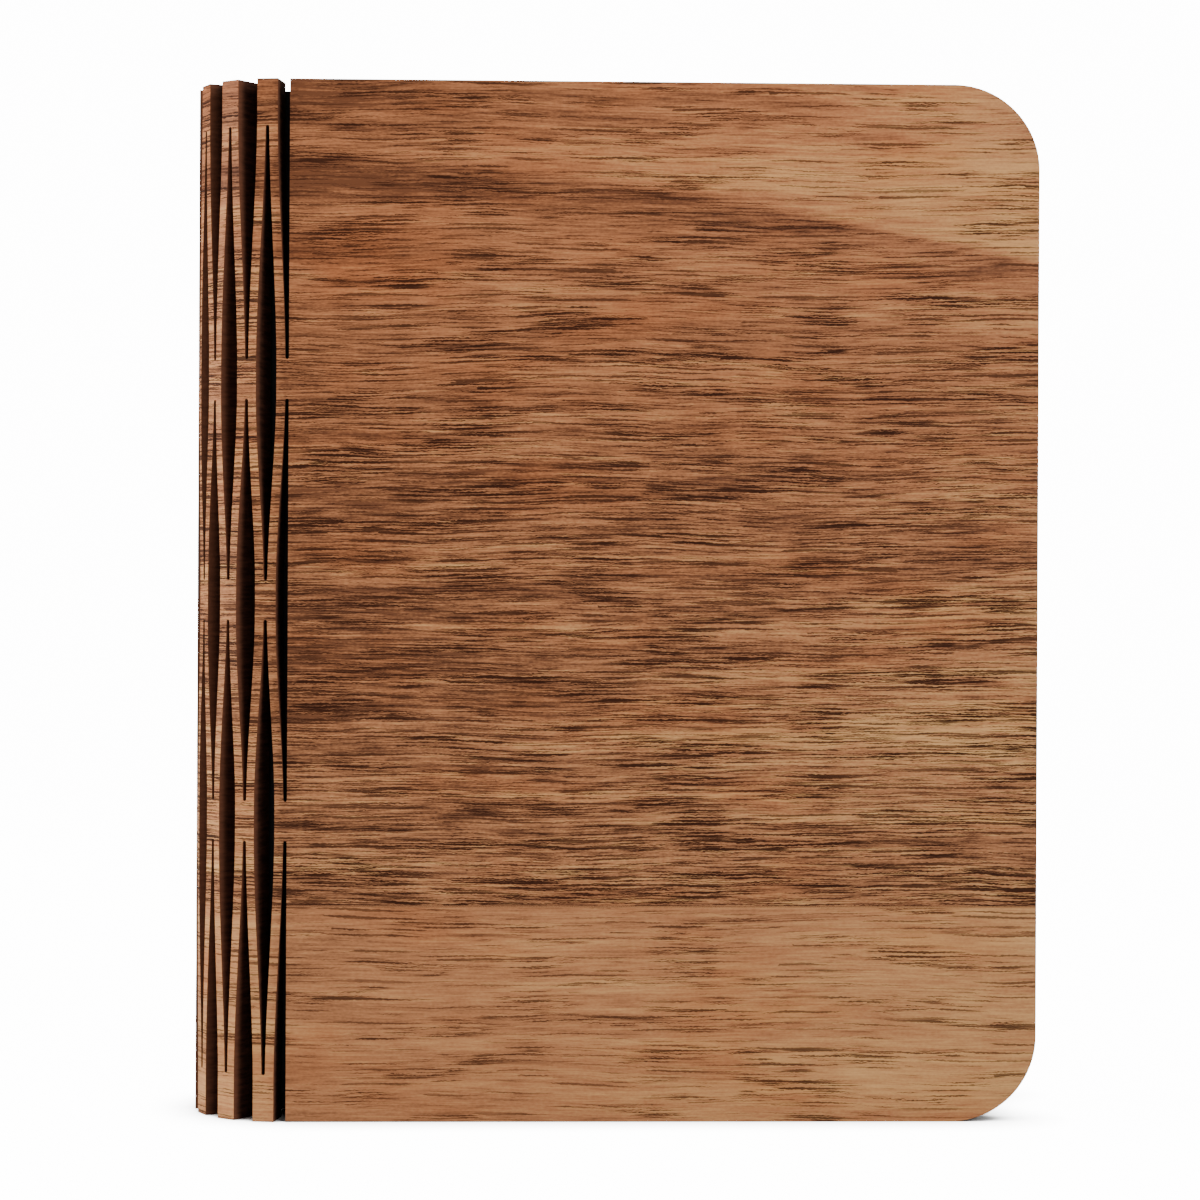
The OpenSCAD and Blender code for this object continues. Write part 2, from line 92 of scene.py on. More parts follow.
# The veneer's figure, with all heights and lengths in mm: how far its grain and the sapwood's
# edge drift, the joint between its two sheets and how soft that joint is, the edge of the
# sapwood at the spine and how fast it falls, the heart's rise and fade, and where the grain
# turns finer toward the top
GRAIN_SWAY, SAP_SWAY = 3, 3
JOINT_Z, JOINT_BLUR = 30, 0.15
SAP_Z, SAP_FALL = 134.3, 0.0012
HEART_RISE, HEART_FADE = (56, 76), (86, 104)
FINER_Z = (88, 108)
# How far away in its log the lower sheet was cut
OTHER_LOG = 300
# Painted light falloff: the wood is darker at the spine and lighter at the fore edge, as light
# falls across the cover, from dark walnut at 0 to light at 1
PAINTED_LIGHT_ALONG = (0.33, 0.58)
# How much lighter, or darker below zero, the parts of the sheet are on the same scale
LIGHTER = {"plank": 0.1, "sapwood": 0.22, "sapwood_edge": -0.22, "heart": -0.07, "slats": 0.19,
           "top": -0.2}
# Streaks: length and height in mm, octaves of detail, and strength, which also seeds each one
STREAKS = (((120, 26), 1, 0.15), ((90, 5), 2, 0.45), ((30, 1.6), 2, 0.4), ((12, 0.5), 2, 0.5),
           ((4, 0.25), 1, 0.4), ((0.6, 0.25), 1, 0.26))
# Layers of pores: length and row height in mm, seed, and share of cells with a pore where they
# are few and where they crowd
PORES = ((6, 0.5, 1.3, 0.1, 1.25), (10, 0.72, 2.7, 0.15, 1.1), (4, 0.36, 4.1, -0.05, 1.15),
         (15, 1.1, 5.3, 0.3, 0.95), (8, 0.6, 6.9, 0, 1.05))

# The camera, in metres and degrees
CAMERA_PLACE = (-0.01496, -0.4341, 0.07526)
CAMERA_YAW, CAMERA_ROLL = -1.7367, 0.267
CAMERA_SHIFT, SENSOR_WIDTH = -0.01523, 36
# The two lights: place, the point they face, and width, in metres, and their tints
KEY_LIGHT = ((0.55, -0.6, 0.5), (0.02, 0, 0.07), 0.45, (1, 0.985, 0.96))
SIDE_LIGHT = ((-0.82, -0.13, 0.25), (-0.05, 0, 0.07), 0.8, (1, 0.95, 0.88))
# The white sweep: width, depth and height in metres, and its fold's radius as a share of them
SWEEP_SIZE, SWEEP_FOLD = (6, 3, 3), 0.25


def length(name, text, default):
    """A size in metres that a user may change."""
    return FloatProperty(name=name, description=text, default=default, unit="LENGTH",
                         precision=5)


def tone(name, text, code):
    """A colour that a user may change, from its sRGB hex code."""
    return FloatVectorProperty(name=name, description=text, default=linear(code)[:3],
                               subtype="COLOR", size=3, min=0, max=1)


def linear(code, share=1.0):
    """Linear colour with alpha from an sRGB hex code, or a share of it."""
    parts = [int(code[i:i + 2], 16) / 255 for i in (1, 3, 5)]
    return tuple(share * (c / 12.92 if c <= 0.04045 else ((c + 0.055) / 1.055) ** 2.4)
                 for c in parts) + (1.0,)


class HingeSizes(bpy.types.PropertyGroup):
    """Sizes of the lattice hinge."""
    strip: length("Strip width", "Width of one thin strip", 1.22 * MM)
    kerf: length("Cut width", "Width of the laser cut", 0.5 * MM)
    end_bridge: length("End bridge", "Height of the joined part at a slat's end", 6.5 * MM)
    mid_bridge: length("Middle bridge", "Height of the joined part at a slat's middle", 5.5 * MM)
    link: length("Link height", "Height of the part between two slats", 5.5 * MM)
    link_z: length("Link place", "Height of a link's middle above the end", 41.75 * MM)
    first_bend: FloatProperty(name="First bend", description="Bend beside a cover, closed",
                              default=math.radians(9.3), subtype="ANGLE")
    rings: IntProperty(name="Rings", description="Cross-sections along a twisted strip",
                       default=20, min=4, max=64)


class CoverSizes(bpy.types.PropertyGroup):
    """Sizes of the covers."""
    corner: length("Corner radius", "Radius of the corners at the fore edge", 12 * MM)
    rim: length("Rim", "Width of the sanded edge round a cover", 0.18 * MM)
    magnet: length("Magnet pocket", "Diameter of a magnet pocket", 8.1 * MM)
    magnet_depth: length("Pocket depth", "Depth of a magnet pocket", 1.55 * MM)
    switch: length("Switch pocket", "Diameter of the switch magnet's pocket", 6.1 * MM)


class ShadeSizes(bpy.types.PropertyGroup):
    """Sizes of the pleated shade."""
    sheet: length("Sheet", "Thickness of the shade's sheet", 0.14 * MM)
    glue: length("Glue line", "Distance of the glued part from the inner crease", 14 * MM)
    glue_film: length("Glue film", "Thickness of the glue on a cover", 0.02 * MM)
    steps: IntProperty(name="Steps", description="Divisions across one panel",
                       default=18, min=6, max=40)


class LampColours(bpy.types.PropertyGroup):
    """Colours of the wood, paper and plastics."""
    walnut_dark: tone("Walnut, dark", "Darkest bands of the veneer", "#623b28")
    walnut_mid: tone("Walnut, middle", "Usual tone of the veneer", "#9f6645")
    walnut_light: tone("Walnut, light", "Lightest bands of the veneer", "#c3905d")
    walnut_red: tone("Walnut, red cast", "Multiplies the tone in redder patches", "#f0cdb6")
    pore: tone("Pore", "Open pores of the veneer", "#2a1208")
    char: tone("Laser-cut edge", "Browned edge of the board", "#643e2d")
    # Char of a laser-cut edge, deepened by painted shade far in from the face
    soot_and_shade: tone("Soot", "Darkest part of a laser-cut edge", "#281610")
    paper: tone("Shade", "Sheet of the shade", "#f4f1e8")


class StageSizes(bpy.types.PropertyGroup):
    """Camera and lights."""
    lens: FloatProperty(name="Lens", description="Focal length in mm", default=90.83,
                        unit="CAMERA")
    key: FloatProperty(name="Key light", description="Power of the main light in W", default=6.4,
                       unit="POWER")
    side: FloatProperty(name="Side light", description="Power of the light beside the spine in W",
                        default=18.0, unit="POWER")
    sky: FloatProperty(name="Sky", description="Strength of the even white light", default=0.3)
    white: FloatProperty(name="White", description="How bright the camera sees the background",
                         default=14.0)


# ---- Modelling helpers ------------------------------------------------------------------


def deselect():
    """Leaves nothing selected."""
    bpy.ops.object.select_all(action="DESELECT")


def take(obj):
    """Makes obj the only selected and the active object."""
    deselect()
    obj.select_set(True)
    bpy.context.view_layer.objects.active = obj


def settle(obj, name):
    """Names a new object and moves its place and size into its mesh."""
    obj.name = obj.data.name = name
    take(obj)
    bpy.ops.object.transform_apply(location=True, rotation=True, scale=True)
    return obj


def block(name, low, high):
    """A box between two corners."""
    deselect()
    low, high = Vector(low), Vector(high)
    bpy.ops.mesh.primitive_cube_add(size=1, location=(low + high) / 2)
    obj = bpy.context.object
    obj.scale = high - low
    return settle(obj, name)


def join(name, objs):
    """Makes one object of several."""
    take(objs[0])
    for obj in objs[1:]:
        obj.select_set(True)
    bpy.ops.object.join()
    objs[0].name = objs[0].data.name = name
    return objs[0]


def drill(obj, centre, radius, depth, sides):
    """Cuts a round hole along Y, as deep as depth on both sides of its centre."""
    deselect()
    bpy.ops.mesh.primitive_cylinder_add(vertices=sides, radius=radius, depth=2 * depth,
                                        location=centre, rotation=(math.pi / 2, 0, 0))
    tool = settle(bpy.context.object, "drill")
    take(obj)
    hole = obj.modifiers.new("Hole", "BOOLEAN")
    hole.object = tool
    hole.operation = "DIFFERENCE"
    hole.solver = "EXACT"
    bpy.ops.object.modifier_apply(modifier=hole.name)
    bpy.data.objects.remove(tool, do_unlink=True)


def pick(obj, kind, test):
    """Selects the vertices, edges or faces that pass a test, in edit mode."""
    mesh = bmesh.from_edit_mesh(obj.data)
    bpy.context.tool_settings.mesh_select_mode = (kind == "verts", kind == "edges", kind == "faces")
    for group in (mesh.faces, mesh.edges, mesh.verts):
        for item in group:
            item.select = False
    chosen = [item for item in getattr(mesh, kind) if test(item)]
    if not chosen:
        raise RuntimeError(f"{obj.name}: none of its {kind} passes the test")
    for item in chosen:
        item.select_set(True)
    bmesh.update_edit_mesh(obj.data)


def copied(obj, name, matrix):
    """A copy of obj with its own mesh, moved by a matrix."""
    new = obj.copy()
    new.data = obj.data.copy()
    new.name = new.data.name = name
    bpy.context.collection.objects.link(new)
    new.data.transform(matrix)
    if matrix.determinant() < 0:
        new.data.flip_normals()
    return new


def smooth(obj, degrees=30):
    """Smooth shading that keeps the sharp edges."""
    take(obj)
    bpy.ops.object.shade_smooth_by_angle(angle=math.radians(degrees))


# ---- The spine's curve ------------------------------------------------------------------


def turned(angle, x, y):
    """A vector of the cross-section turned clockwise, as seen from above."""
    return Vector((x * math.cos(angle) + y * math.sin(angle),
                   -x * math.sin(angle) + y * math.cos(angle)))


class Spine:
    """Places round the spine, in metres, from the hinge sizes."""

    def __init__(self):
        s = bpy.context.scene.lamp_hinge
        self.strip, self.kerf = s.strip, s.kerf
        self.slat = 2 * s.strip + s.kerf
        # The curve's radius at the middle of the board, its bends, and where its axis stands
        self.r = THICKNESS / 2 - BOARD / 2
        self.first = s.first_bend
        self.step = (math.pi - 2 * s.first_bend) / (LAST - 2)
        self.x = corners(f"spine_slat_{(N_SLATS + 1) // 2}")[0].x + THICKNESS / 2
        # The covers begin past the first cut, and each cut ends in a half circle
        self.board_x = self.x + s.strip / 2 + s.kerf
        self.notch = s.kerf / 2
        self.link = (s.link_z - s.link / 2, s.link_z + s.link / 2)
        self.mid = ((HEIGHT - s.mid_bridge) / 2, (HEIGHT + s.mid_bridge) / 2)
        self.end = s.end_bridge
        # Heights of the free lengths below the middle, from the slat to the link
        self.free = [(self.end + self.notch, self.link[0] - self.notch),
                     (self.mid[0] - self.notch, self.link[1] + self.notch)]

    def angle(self, body):
        """Direction in which a body faces, round the spine from the front cover."""
        if body in (0, LAST):
            return 0.0 if body == 0 else math.pi
        return self.first + self.step * (body - 1)

    def strip_end(self, k, end):
        """Middle of strip k where it meets body k (end 0) or k + 1 (end 1)."""
        side = 0 if k + end in (0, LAST) else (2 * end - 1) * (self.strip + self.kerf) / 2
        return turned(self.angle(k + end), side, -self.r)

    def middle(self, k, u):
        """Angle and middle of strip k at a share u of the way between its bodies."""
        # Its turn eases in and out, and its middle follows halfway between evenly and eased
        ease = u * u * (3 - 2 * u)
        start, end = self.angle(k), self.angle(k + 1)
        angle = start + (end - start) * ease
        pin = (self.strip_end(k, 0) + self.strip_end(k, 1)) / 2
        arms = [turned(-self.angle(k + e), *(self.strip_end(k, e) - pin)) for e in (0, 1)]
        arm = arms[0].lerp(arms[1], (u + ease) / 2)
        return angle, pin + turned(angle, *arm)

    def turn(self, angle):
        """Matrix that turns a piece round the spine, away from the front cover."""
        move = Matrix.Translation((self.x, 0, 0))
        return move @ Matrix.Rotation(-angle, 4, "Z") @ move.inverted()


MIRROR_Y = Matrix.Diagonal((1, -1, 1, 1))
MIRROR_Z = Matrix.Translation((0, 0, HEIGHT)) @ Matrix.Diagonal((1, 1, -1, 1))


def board_place(obj, spine):
    """Stores where each point lies in the flat board: along the grain, in from the face, up."""
    data = obj.data.attributes.new("board", "FLOAT_VECTOR", "POINT")
    half_turn = math.pi * THICKNESS / 2
    for vertex, item in zip(obj.data.vertices, data.data):
        x, y, z = vertex.co
        if x > spine.x + spine.strip:
            along, depth = (x - spine.x), THICKNESS / 2 - abs(y)
            if y > 0:
                along = -half_turn - along
        else:
            along = -math.atan2(spine.x - x, -y) * THICKNESS / 2
            depth = THICKNESS / 2 - math.hypot(x - spine.x, y)
        item.vector = (along, depth, z)


def paint_board(obj, face, edge):
    """Veneer on the board's two faces and a laser-cut edge all round, while it is still flat."""
    for material in (face, edge):
        obj.data.materials.append(material)
    for polygon in obj.data.polygons:
        polygon.material_index = 0 if abs(polygon.normal.y) > 0.7 else 1


def twisted_strip(k, z0, z1, spine, materials):
    """Strip k from body k's side at z0 to body k + 1's side at z1, twisted on its way."""
    rings = bpy.context.scene.lamp_hinge.rings
    front = -spine.r - BOARD / 2
    obj = block("strip", (spine.x - spine.strip / 2, front, min(z0, z1)),
                (spine.x + spine.strip / 2, front + BOARD, max(z0, z1)))
    paint_board(obj, *materials)
    bpy.ops.object.mode_set(mode="EDIT")
    pick(obj, "edges", lambda e: abs(e.verts[0].co.z - e.verts[1].co.z) > MM)
    bpy.ops.mesh.subdivide(number_cuts=rings - 1)
    for i in range(rings + 1):
        z = z0 + (z1 - z0) * i / rings
        angle, centre = spine.middle(k, i / rings)
        place = Vector((spine.x + centre.x, centre.y, z))
        pick(obj, "verts", lambda v: abs(v.co.z - z) < TINY)
        bpy.ops.transform.translate(value=place - Vector((spine.x, -spine.r, z)))
        # Without a window this turns clockwise seen from above, as the spine's angles do
        bpy.ops.transform.rotate(value=angle, orient_axis="Z", center_override=place)
    bpy.ops.object.mode_set(mode="OBJECT")
    return obj


def bridge(spine, z0, z1, open_low, open_high):
    """A joined part of a slat or link, with the round end of the cut below or above it."""
    z0 -= spine.notch if open_low else 0
    z1 += spine.notch if open_high else 0
    front = -THICKNESS / 2
    obj = block("bridge", (spine.x - spine.slat / 2, front, z0),
                (spine.x + spine.slat / 2, front + BOARD, z1))
    for z in ([z0] if open_low else []) + ([z1] if open_high else []):
        drill(obj, (spine.x, front + BOARD / 2, z), spine.notch, BOARD, 24)
    return obj


def place_bridges(slat, link, spine):
    """Puts a copy of the slat's or the link's bridges on each body between the covers."""
    for body in range(1, LAST):
        kind, number = ("slat", (body + 1) // 2) if body % 2 else ("link", body // 2)
        obj = copied(slat if body % 2 else link, f"spine_{kind}_{number}_wood",
                     spine.turn(spine.angle(body)))
        board_place(obj, spine)
        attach(obj, SPINE_BODIES[body])
        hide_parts(f"spine_{kind}_{number}")


def place_strips(letters, z_slat, z_link, spine, materials):
    """Puts the strips of one free length between all neighbouring bodies, and their mirror images
    above them.
    """
    # Strip 1 runs from a slat to a link, strip 0 from the cover to a slat
    regular = twisted_strip(1, z_slat, z_link, spine, materials)
    beside_cover = twisted_strip(0, z_link, z_slat, spine, materials)
    for k in range(LAST):
        # An even strip mirrors the odd one as far from the other cover
        twin = k if k % 2 else LAST - 1 - k
        master, place, mirrored = regular, spine.turn(spine.step * (twin - 1)), k != twin
        if k in (0, LAST - 1):
            master, place, mirrored = beside_cover, Matrix.Identity(4), k > 0
        if mirrored:
            place = MIRROR_Y @ place
        for upper, letter in enumerate(letters):
            obj = copied(master, f"strip_{k + 1}_{letter}", MIRROR_Z @ place if upper else place)
            smooth(obj)
            board_place(obj, spine)
            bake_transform(obj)
    for obj in (regular, beside_cover):
        bpy.data.objects.remove(obj, do_unlink=True)


class LAMP_OT_hinge(bpy.types.Operator):
    """Builds the slats, the links and the twisted strips of the lattice hinge"""
    bl_idname = "lamp.hinge"
    bl_label = "Lattice hinge"

    def execute(self, context):
        spine = Spine()
        materials = (veneer(), cut_edge())
        slat = join("slat", [
            bridge(spine, 0, spine.end, False, True),
            bridge(spine, *spine.mid, True, True),
            bridge(spine, HEIGHT - spine.end, HEIGHT, True, False)])
        link_low, link_high = spine.link
        link = join("link", [
            bridge(spine, link_low, link_high, True, True),
            bridge(spine, HEIGHT - link_high, HEIGHT - link_low, True, True)])
        for obj in (slat, link):
            paint_board(obj, *materials)
        place_bridges(slat, link, spine)
        for obj in (slat, link):
            bpy.data.objects.remove(obj, do_unlink=True)
        # Up a strip's four free lengths the letters run a, b, c, d
        for letters, (z_slat, z_link) in zip(("ad", "bc"), spine.free):
            place_strips(letters, z_slat, z_link, spine, materials)
        return {"FINISHED"}


class LAMP_OT_covers(bpy.types.Operator):
    """Builds the two covers with their tabs for the hinge and their magnet pockets"""
    bl_idname = "lamp.covers"
    bl_label = "Covers"

    def execute(self, context):
        spine, sizes = Spine(), context.scene.lamp_cover
        outer, inner = -THICKNESS / 2, -THICKNESS / 2 + BOARD
        obj = block("front_cover_wood", (spine.board_x, outer, 0), (FORE, inner, HEIGHT))
        bpy.ops.object.mode_set(mode="EDIT")
        pick(obj, "edges", lambda e: all(abs(v.co.x - FORE) < TINY for v in e.verts)
             and abs(e.verts[0].co.y - e.verts[1].co.y) > MM)
        bpy.ops.mesh.bevel(offset=sizes.corner, segments=24, affect="EDGES")
        # The rim of both faces is sanded, except along the hinge
        pick(obj, "edges", lambda e: abs(e.verts[0].co.y - e.verts[1].co.y) < TINY
             and not all(abs(v.co.x - spine.board_x) < TINY for v in e.verts))
        bpy.ops.mesh.bevel(offset=sizes.rim, segments=2, affect="EDGES")
        low, high = spine.link[0] - spine.notch, spine.link[1] + spine.notch
        tabs = [(low, high), (HEIGHT - high, HEIGHT - low)]
        for z in (z for tab in tabs for z in tab):
            pick(obj, "faces", lambda f: True)
            bpy.ops.mesh.bisect(plane_co=(0, 0, z), plane_no=(0, 0, 1))
        pick(obj, "faces", lambda f: f.normal.x < -0.9 and any(
            a < f.calc_center_median().z < b for a, b in tabs))
        bpy.ops.mesh.extrude_region_move(
            TRANSFORM_OT_translate={"value": (-spine.strip - spine.kerf, 0, 0)})
        bpy.ops.object.mode_set(mode="OBJECT")
        for z in (z for tab in tabs for z in tab):
            centre = (spine.board_x - spine.notch, (outer + inner) / 2, z)
            drill(obj, centre, spine.notch, BOARD, 24)
        low, high = corners("front_magnets")
        for z in (low.z + sizes.magnet / 2, high.z - sizes.magnet / 2):
            centre = ((low.x + high.x) / 2, inner, z)
            drill(obj, centre, sizes.magnet / 2, sizes.magnet_depth, 48)
        paint_board(obj, veneer(), cut_edge())
        back = copied(obj, "back_cover_wood", MIRROR_Y)
        # Only the front cover holds the switch magnet
        low, high = corners("switch_magnet")
        centre = ((low.x + high.x) / 2, inner, (low.z + high.z) / 2)
        drill(obj, centre, sizes.switch / 2, sizes.magnet_depth, 48)
        for piece, body in ((obj, "front_cover"), (back, "back_cover")):
            smooth(piece)
            board_place(piece, spine)
            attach(piece, body)
            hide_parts(body)
        return {"FINISHED"}


def panel(j, pitch):
    """Places (x, y from body j's side) of pleat j's panel, from its outer to its inner end."""
    sizes = bpy.context.scene.lamp_shade
    hinges = frame["record"]["behaviour"]["joints"]
    pin = {hinge["name"]: hinge["pos_m"][0] for hinge in hinges}[f"spine_bend_{j + 1}"]
    x_in, x_out = PAPER_LOW.x, PAPER_HIGH.x
    # The panel on a cover leaves it at the glue line, any other runs to the fore edge
    far = x_in + sizes.glue if j == 0 else x_out
    places = []
    for i in range(sizes.steps + 1):
        # More steps near both creases, where the sheet curves most
        x = far + (x_in - far) * (1 - math.cos(math.pi * i / sizes.steps)) / 2
        # The share of the other body's motion that would keep the panel straight as the lamp opens,
        # and the place between the two bodies where a smoothstep blend would give that share
        share = 0.5 * (x_in - pin) / (x - pin) * (far - x) / (far - x_in)
        t = 0.5 - math.sin(math.asin(1 - 2 * min(share, 0.5)) / 3)
        places.append((x, t * pitch))
    if j == 0:
        glued = LINER_LOW.y + sizes.sheet / 2 + sizes.glue_film + N_SLATS * pitch
        places[:1] = [(x_out, glued), (far, glued)]
    return places


class LAMP_OT_shade(bpy.types.Operator):
    """Builds the pleated shade, one V of two panels for each pair of neighbouring bodies"""
    bl_idname = "lamp.shade"
    bl_label = "Pleated shade"

    def execute(self, context):
        pitch = 2 * abs(LINER_HIGH.y) / LAST
        low, high = PAPER_LOW.z, PAPER_HIGH.z
        material = shade_paper()
        for j in range(LAST):
            y0 = (j - N_SLATS) * pitch
            y1 = y0 + pitch
            first = [(x, y0 + y) for x, y in panel(j, pitch)]
            second = [(x, y1 - y) for x, y in panel(LAST - 1 - j, pitch)]
            # Both panels end at the inner crease
            points = first + second[-2::-1]
            deselect()
            bpy.ops.mesh.primitive_grid_add(x_subdivisions=len(points) - 1, y_subdivisions=1,
                                            size=1)
            obj = bpy.context.object
            columns = sorted({round(v.co.x, 6) for v in obj.data.vertices})
            for vertex in obj.data.vertices:
                x, y = points[columns.index(round(vertex.co.x, 6))]
                vertex.co = (x, y, low if vertex.co.y < 0 else high)
            obj = settle(obj, f"shade_pleat_{j + 1}")
            obj.data.materials.append(material)
            wall = obj.modifiers.new("Sheet", "SOLIDIFY")
            wall.thickness, wall.offset = context.scene.lamp_shade.sheet, 0
            bpy.ops.object.modifier_apply(modifier=wall.name)
            smooth(obj, 50)
            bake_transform(obj)
            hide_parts(f"paper_fold_{j}" if j else "front_liner")
            if j == LAST - 1:
                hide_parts("back_liner")
        return {"FINISHED"}


class LAMP_OT_core(bpy.types.Operator):
    """Gives the light core, the battery, the electronics and the magnets their materials"""
    bl_idname = "lamp.core"
    bl_label = "Light core"

    def execute(self, context):
        looks = {
            moulded_plastic("abs_black", "#1d1d1f"): ["core_housing", "bottom_cap", "top_cap"],
            diffuser_plastic(): ["diffuser"],
            solder_mask("solder_mask_white", "#e9e9e4"): ["led_board"],
            phosphor(): ["leds"],
            sleeve(): ["battery_cell"],
            moulded_plastic("pa_black", "#18181a"): ["battery_cradle"],
            silicone("silicone_red", "#a3211b"): ["battery_leads"],
            silicone("silicone_white", "#dcdcd6"): ["led_leads"],
            solder_mask("solder_mask_green", "#14502f"): ["charging_board"],
            epoxy(): ["board_components", "magnet_sensor"],
            plated("stainless_sheet", "#b9bbbd", 0.28): ["usb_socket"],
            clear_pipe(): ["light_pipe"],
            plated("zinc_plate", "#a9abae", 0.35): ["cap_screws"],
            plated("nickel_plate", "#c4c2bb", 0.18): ["front_magnets", "back_magnets",
                                                      "switch_magnet"],
        }
        for material, names in looks.items():
            for name in names:
                slots = frame["nodes"][name].data.materials
                if len(slots) == 0:
                    slots.append(material)
                for i in range(len(slots)):
                    slots[i] = material
        return {"FINISHED"}


# ---- Materials --------------------------------------------------------------------------

MATH, RANGE, MIX = "ShaderNodeMath", "ShaderNodeMapRange", "ShaderNodeMix"
NOISE, MAPPING, BUMP = "ShaderNodeTexNoise", "ShaderNodeMapping", "ShaderNodeBump"
SOFT = {"interpolation_type": "SMOOTHSTEP"}
MADE = {}  # finished materials by name


def add(tree, kind, inputs=(), **settings):
    """Adds a node with its settings, and fills its inputs with values, nodes or sockets."""
    made = tree.nodes.new(kind)
    for name, value in settings.items():
        setattr(made, name, value)
    for name, value in inputs.items() if isinstance(inputs, dict) else enumerate(inputs):
        if isinstance(value, bpy.types.Node):
            value = value.outputs[0]
        if isinstance(value, bpy.types.NodeSocket):
            tree.links.new(value, made.inputs[name])
        else:
            made.inputs[name].default_value = value
    return made


def fresh(name, rough, ior=None, **constants):
    """An empty material with its constants set, or the finished one if it is there already."""
    if name in MADE:
        return MADE[name], None, None
    material = MADE[name] = bpy.data.materials.new(name)
    material.use_nodes = True
    tree = material.node_tree
    shader = tree.nodes["Principled BSDF"]
    shader.inputs["Roughness"].default_value = rough
    if ior:
        shader.inputs["IOR"].default_value = ior
    for key, value in constants.items():
        shader.inputs[key.replace("_", " ")].default_value = value
    return material, tree, shader


def colour(name, share=1.0):
    """A colour of the settings, with alpha, or a share of it."""
    return (*[share * c for c in getattr(bpy.context.scene.lamp_colours, name)], 1.0)


def board_mm(tree):
    """Place in the flat board in mm: along the grain, in from the face, up."""
    place = add(tree, "ShaderNodeAttribute", attribute_name="board")
    return add(tree, "ShaderNodeVectorMath", [place.outputs["Vector"], (1000,) * 3],
               operation="MULTIPLY")


def object_mm(tree):
    """Object coordinates in mm."""
    place = add(tree, "ShaderNodeTexCoord")
    return add(tree, "ShaderNodeVectorMath", [place.outputs["Object"], (1000,) * 3],
               operation="MULTIPLY")


def grained(name, rough, ior, size, dark, light, lift, detail=2.0, **constants):
    """A fine random grain: size in mm along X, Y and Z, two colours, and a lift in mm."""
    material, tree, shader = fresh(name, rough, ior, **constants)
    if tree is None:
        return material
    place = add(tree, MAPPING, {"Vector": object_mm(tree), "Scale": [1 / s for s in size]})
    grain = add(tree, NOISE, {"Vector": place, "Scale": 1.0, "Detail": detail})
    tones = add(tree, MIX, {0: grain, 6: dark, 7: light}, data_type="RGBA")
    tree.links.new(tones.outputs[2], shader.inputs["Base Color"])
    if lift:
        raised = add(tree, BUMP, {"Height": grain, "Distance": lift * MM, "Strength": 0.4})
        tree.links.new(raised.outputs[0], shader.inputs["Normal"])
    return material


